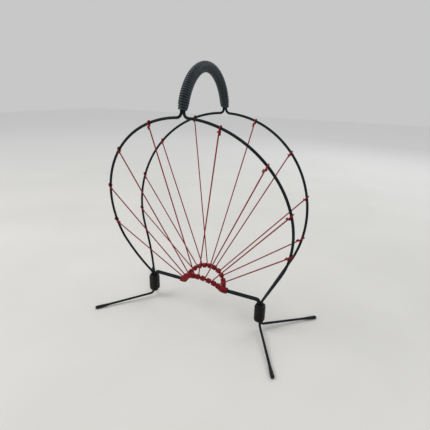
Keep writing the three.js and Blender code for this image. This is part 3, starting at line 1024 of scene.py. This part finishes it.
# %% Sizes of a hitch
TURN_STEPS = 12  # in half a turn round a wire
TOUCH = 0.05 * MM
CROSSING = WIRE_R + CORD_R + TOUCH  # from the wire's middle to the cord's middle
BESIDE = 2 * CORD_R + TOUCH  # between two cords that lie side by side
HITCH_PITCH = 2.5 * MM
HITCH_REACH = (3.4 * MM, 4.4 * MM)  # from the middle of the hoop's wire down to the hitch
HITCH_TURNS = (0.7, 1.1)
HITCH_STEPS = 12  # in a whole turn round the string
TAIL_LENGTH = (3.5 * MM, 6.5 * MM)
TAIL_EASE = 0.4 * MM  # how far the tail swings out before it lies along the string
RETURN_STEPS = 10
ARCH_TURN = 1.9 * math.pi  # how far a string goes round its arch
ARCH_TURN_DRIFT = 1.4 * MM  # how far that turn moves inwards along the arch
RUN_ROUNDS = 3  # a string's direction and the places that it leaves from depend on each other


# %% Turns and hitches
def face_of(along, run):
    """The direction square to a wire and to a string that crosses it, on the rack's front side."""
    face = along.cross(run).normalized()
    return -face if face.y > 0 else face


def turn_round(centre, along, run, face, reach, start, stop):
    """Part of a turn round a wire. At angle 0 it is on the face's side and goes along the run."""
    long_reach = reach / math.sqrt(1 - run.dot(along) ** 2)
    steps = max(4, round(abs(stop - start) / math.pi * TURN_STEPS))
    angles = [start + (stop - start) * i / steps for i in range(steps + 1)]
    return [centre + run * long_reach * math.sin(a) + face * reach * math.cos(a) for a in angles]


def softened(points):
    """The same route with each corner cut, so that the cord isn't kinked."""
    cut = [points[0]]
    for here, there in zip(points, points[1:]):
        cut += [here.lerp(there, 0.25), here.lerp(there, 0.75)]
    return cut + [points[-1]]


def hitch(high, run, face, chance):
    """From behind the hoop's wire back to the string, about once round it, and a short tail."""
    reach = chance.uniform(*HITCH_REACH)
    beside = run.cross(face)
    string = high + face * CROSSING
    points = []
    for i in range(1, RETURN_STEPS + 1):
        share = i / RETURN_STEPS
        eased = share * share * (3 - 2 * share)
        offset = -CROSSING + eased * (2 * CROSSING - BESIDE)
        points.append(high - run * reach * share + face * offset)
    turns = chance.uniform(*HITCH_TURNS)
    steps = round(turns * HITCH_STEPS)
    for i in range(1, steps + 1):
        angle = 2 * math.pi * turns * i / steps
        out = beside * math.sin(angle) - face * math.cos(angle)
        points.append(string - run * (reach + HITCH_PITCH * angle / (2 * math.pi)) + out * BESIDE)
    going = (points[-1] - points[-2]).normalized()
    length = chance.uniform(*TAIL_LENGTH)
    last = points[-1] + going * TAIL_EASE
    tip = last - run * length - out * chance.uniform(0, 1) * TAIL_EASE
    return points + [last - run * TAIL_EASE, tip]


def string_route(side, front, i, chance):
    """The whole route of one string, and the length of its taut run."""
    along_arch = side * string_foot(i)
    low = arch_at(along_arch, front)
    low_span = arch_at(along_arch + MM, front) - arch_at(along_arch - MM, front)
    low_wire = low_span.normalized()
    angle = STRING_ANGLES[i] * DEG
    high = pulled_in(hoop_point(angle, side, front), front)
    high_span = hoop_point(angle + DEG, side, front) - hoop_point(angle - DEG, side, front)
    high_wire = high_span.normalized()
    run = (high - low).normalized()
    for _ in range(RUN_ROUNDS):
        low_face, high_face = face_of(low_wire, run), face_of(high_wire, run)
        run = (high + high_face * CROSSING - low - low_face * COIL_R).normalized()
    turn = turn_round(low, low_wire, run, low_face, COIL_R, -ARCH_TURN, 0)
    inwards = -low_wire * math.copysign(1, low_wire.x) * side
    drifts = [ARCH_TURN_DRIFT * (1 - k / (len(turn) - 1)) for k in range(len(turn))]
    wrap = [point + inwards * drift for point, drift in zip(turn, drifts)]
    over = turn_round(high, high_wire, run, high_face, CROSSING, 0, math.pi)
    taut = (over[0] - wrap[-1]).length
    return softened(wrap) + softened(over + hitch(high, run, high_face, chance)), taut


# %% String the rack
STRING = {"section_radius": CORD_R, "section_sides": 8, "end_round": 0.8 * MM}
STRING["material"] = RED_CORD
chance = random.Random(7)

for end_name, front in ENDS.items():
    for side_name, side in SIDES.items():
        for i in range(len(STRING_ANGLES)):
            node = f"{end_name}_{side_name}_string_{i + 1}"
            route, taut = string_route(side, front, i, chance)
            settle(follow(node + "_cord", route, ROD, **STRING), "red_cord", node)
            print("   taut for", round(taut, 3), "m")

# %% [markdown]
# ## Floor and light
#
# A plain pale floor and soft light from large lamps show the shapes without taking over. Far off,
# the floor turns paler to meet the surroundings. The strongest lamp is high on the left and gives
# the wires their long highlight, and the other two open the shadows.

# %% Floor
FLOOR_HALF = 6.0
PALER_FROM, PALER_TO = 0.7, 3.2  # metres from the floor's middle


def pale_floor():
    f = Finish("pale_floor", Specular_IOR_Level=0.3)
    tone = f.noise(3, 4).fit(0.3, 0.7)
    colour = f.blend(tone, rgb(0.71, 0.70, 0.68), rgb(0.75, 0.74, 0.72))
    away = f.node("ShaderNodeVectorMath", {0: f.place}, output=1, operation="LENGTH")
    colour = f.blend(away.fit(PALER_FROM, PALER_TO), colour, rgb(0.93, 0.93, 0.93))
    return f.set(colour, 0.62 + 0.1 * f.noise(40), f.noise(300, 2), 0.00005)


floor_mesh = bpy.data.meshes.new("floor")
corners = [(x * FLOOR_HALF, y * FLOOR_HALF, 0) for x, y in ((-1, -1), (1, -1), (1, 1), (-1, 1))]
floor_mesh.from_pydata(corners, [], [(0, 1, 2, 3)])
floor_mesh.materials.append(pale_floor())
floor = as_piece("floor", floor_mesh)


# %% Lamps and surroundings
def lamp(name, place, aim, size, power, colour):
    """A square area lamp that faces a point."""
    light = bpy.data.lights.new(name, "AREA")
    light.size = size
    light.energy = power
    light.color = colour
    made = bpy.data.objects.new(name, light)
    made.location = place
    made.rotation_euler = (Vector(aim) - Vector(place)).to_track_quat("-Z", "Y").to_euler()
    bpy.context.collection.objects.link(made)


MIDDLE = (0, 0, 0.25)
lamp("key", (-1.3, -0.9, 1.9), MIDDLE, 1.4, 22, (1.0, 0.98, 0.95))
lamp("fill", (1.9, -1.4, 1.2), MIDDLE, 1.6, 6, (0.93, 0.96, 1.0))
lamp("back", (0.5, 1.9, 1.7), MIDDLE, 1.6, 12, (0.95, 0.97, 1.0))

world = bpy.data.worlds.new("studio")
world.use_nodes = True
world.node_tree.nodes["Background"].inputs["Color"].default_value = rgb(0.88, 0.89, 0.88)
world.node_tree.nodes["Background"].inputs["Strength"].default_value = 0.65
bpy.context.scene.world = world
bpy.context.scene.view_settings.view_transform = "Standard"
